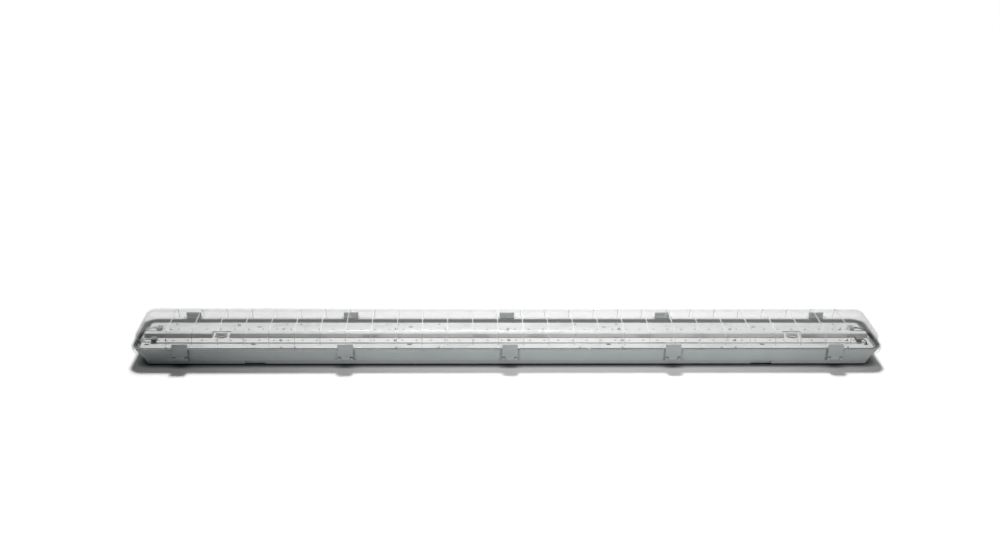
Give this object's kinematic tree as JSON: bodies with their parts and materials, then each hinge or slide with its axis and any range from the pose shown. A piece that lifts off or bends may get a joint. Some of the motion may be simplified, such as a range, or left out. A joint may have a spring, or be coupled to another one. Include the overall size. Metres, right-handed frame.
{
  "type": "vapor tight light fixture",
  "caption": "Long slim sealed LED batten light: grey tub housing, clear cover with rounded shoulders, side latches, white gear tray with light rows.",
  "frame": {"origin": "centre of the housing's flat back, which lies on the floor in the picture", "axes": "+X along the fitting, +Y across it towards the side that is far in the picture, +Z out of the back towards the clear cover"},
  "size_m": [1.268, 0.1504, 0.0588],
  "materials": {
    "grey_plastic": "light grey moulded, satin",
    "latch_plastic": "grey moulded, smooth",
    "clear_plastic": "clear moulded, polished",
    "foam_rubber": "dark foam",
    "white_enamel": "white enamel, semi-gloss",
    "board_mask": "white solder mask on an aluminium core",
    "connector_nylon": "pale moulded nylon",
    "zinc_steel": "bright zinc plate",
    "driver_case": "white moulded case",
    "pale_insulation": "pale wire insulation",
    "dark_insulation": "black wire insulation"
  },
  "bodies": {
    "body": {"board_connector_front_left": "connector_nylon", "board_connector_front_right": "connector_nylon", "board_connector_rear_left": "connector_nylon", "board_connector_rear_right": "connector_nylon", "board_lead_front_left": "pale_insulation", "board_lead_front_right": "dark_insulation", "board_lead_rear_left": "pale_insulation", "board_lead_rear_right": "dark_insulation", "board_screw_front_1": "zinc_steel", "board_screw_front_2": "zinc_steel", "board_screw_front_3": "zinc_steel", "board_screw_front_4": "zinc_steel", "board_screw_front_5": "zinc_steel", "board_screw_front_6": "zinc_steel", "board_screw_front_7": "zinc_steel", "board_screw_rear_1": "zinc_steel", "board_screw_rear_2": "zinc_steel", "board_screw_rear_3": "zinc_steel", "board_screw_rear_4": "zinc_steel", "board_screw_rear_5": "zinc_steel", "board_screw_rear_6": "zinc_steel", "board_screw_rear_7": "zinc_steel", "driver": "driver_case", "driver_screw_front_left": "zinc_steel", "driver_screw_front_right": "zinc_steel", "driver_screw_rear_left": "zinc_steel", "driver_screw_rear_right": "zinc_steel", "earth_lead": "pale_insulation", "earth_screw": "zinc_steel", "entry_nut_left": "grey_plastic", "entry_nut_right": "grey_plastic", "entry_plug_left": "grey_plastic", "entry_plug_right": "grey_plastic", "entry_washer_left": "foam_rubber", "entry_washer_right": "foam_rubber", "gasket": "foam_rubber", "gear_tray": "white_enamel", "housing": "grey_plastic", "led_board_front_left": "board_mask", "led_board_front_right": "board_mask", "led_board_rear_left": "board_mask", "led_board_rear_right": "board_mask", "lens": "clear_plastic", "supply_lead_live": "dark_insulation", "supply_lead_neutral": "dark_insulation", "terminal_block": "connector_nylon"},
    "latch_front_1": {"latch_front_1": "latch_plastic"},
    "latch_front_2": {"latch_front_2": "latch_plastic"},
    "latch_front_3": {"latch_front_3": "latch_plastic"},
    "latch_front_4": {"latch_front_4": "latch_plastic"},
    "latch_front_5": {"latch_front_5": "latch_plastic"},
    "latch_rear_1": {"latch_rear_1": "latch_plastic"},
    "latch_rear_2": {"latch_rear_2": "latch_plastic"},
    "latch_rear_3": {"latch_rear_3": "latch_plastic"},
    "latch_rear_4": {"latch_rear_4": "latch_plastic"},
    "latch_rear_5": {"latch_rear_5": "latch_plastic"},
    "tray_knob_left": {"tray_knob_left": "grey_plastic"},
    "tray_knob_right": {"tray_knob_right": "grey_plastic"}
  },
  "joints": [
    {"name": "latch_front_1_hinge", "type": "hinge", "parent": "body", "child": "latch_front_1", "pos_m": [-0.5492, -0.0705, 0.0136], "axis": [1, 0, 0], "range_deg": [0, 100]},
    {"name": "latch_front_2_hinge", "type": "hinge", "parent": "body", "child": "latch_front_2", "pos_m": [-0.2746, -0.0705, 0.0136], "axis": [1, 0, 0], "range_deg": [0, 100]},
    {"name": "latch_front_3_hinge", "type": "hinge", "parent": "body", "child": "latch_front_3", "pos_m": [0, -0.0705, 0.0136], "axis": [1, 0, 0], "range_deg": [0, 100]},
    {"name": "latch_front_4_hinge", "type": "hinge", "parent": "body", "child": "latch_front_4", "pos_m": [0.2746, -0.0705, 0.0136], "axis": [1, 0, 0], "range_deg": [0, 100]},
    {"name": "latch_front_5_hinge", "type": "hinge", "parent": "body", "child": "latch_front_5", "pos_m": [0.5492, -0.0705, 0.0136], "axis": [1, 0, 0], "range_deg": [0, 100]},
    {"name": "latch_rear_1_hinge", "type": "hinge", "parent": "body", "child": "latch_rear_1", "pos_m": [-0.5492, 0.0705, 0.0136], "axis": [-1, 0, 0], "range_deg": [0, 100]},
    {"name": "latch_rear_2_hinge", "type": "hinge", "parent": "body", "child": "latch_rear_2", "pos_m": [-0.2746, 0.0705, 0.0136], "axis": [-1, 0, 0], "range_deg": [0, 100]},
    {"name": "latch_rear_3_hinge", "type": "hinge", "parent": "body", "child": "latch_rear_3", "pos_m": [0, 0.0705, 0.0136], "axis": [-1, 0, 0], "range_deg": [0, 100]},
    {"name": "latch_rear_4_hinge", "type": "hinge", "parent": "body", "child": "latch_rear_4", "pos_m": [0.2746, 0.0705, 0.0136], "axis": [-1, 0, 0], "range_deg": [0, 100]},
    {"name": "latch_rear_5_hinge", "type": "hinge", "parent": "body", "child": "latch_rear_5", "pos_m": [0.5492, 0.0705, 0.0136], "axis": [-1, 0, 0], "range_deg": [0, 100]},
    {"name": "tray_knob_left_hinge", "type": "hinge", "parent": "body", "child": "tray_knob_left", "pos_m": [-0.49051, 0, 0.0276], "axis": [0, 0, 1], "range_deg": [0, 90]},
    {"name": "tray_knob_right_hinge", "type": "hinge", "parent": "body", "child": "tray_knob_right", "pos_m": [0.49051, 0, 0.0276], "axis": [0, 0, 1], "range_deg": [0, 90]}
  ]
}
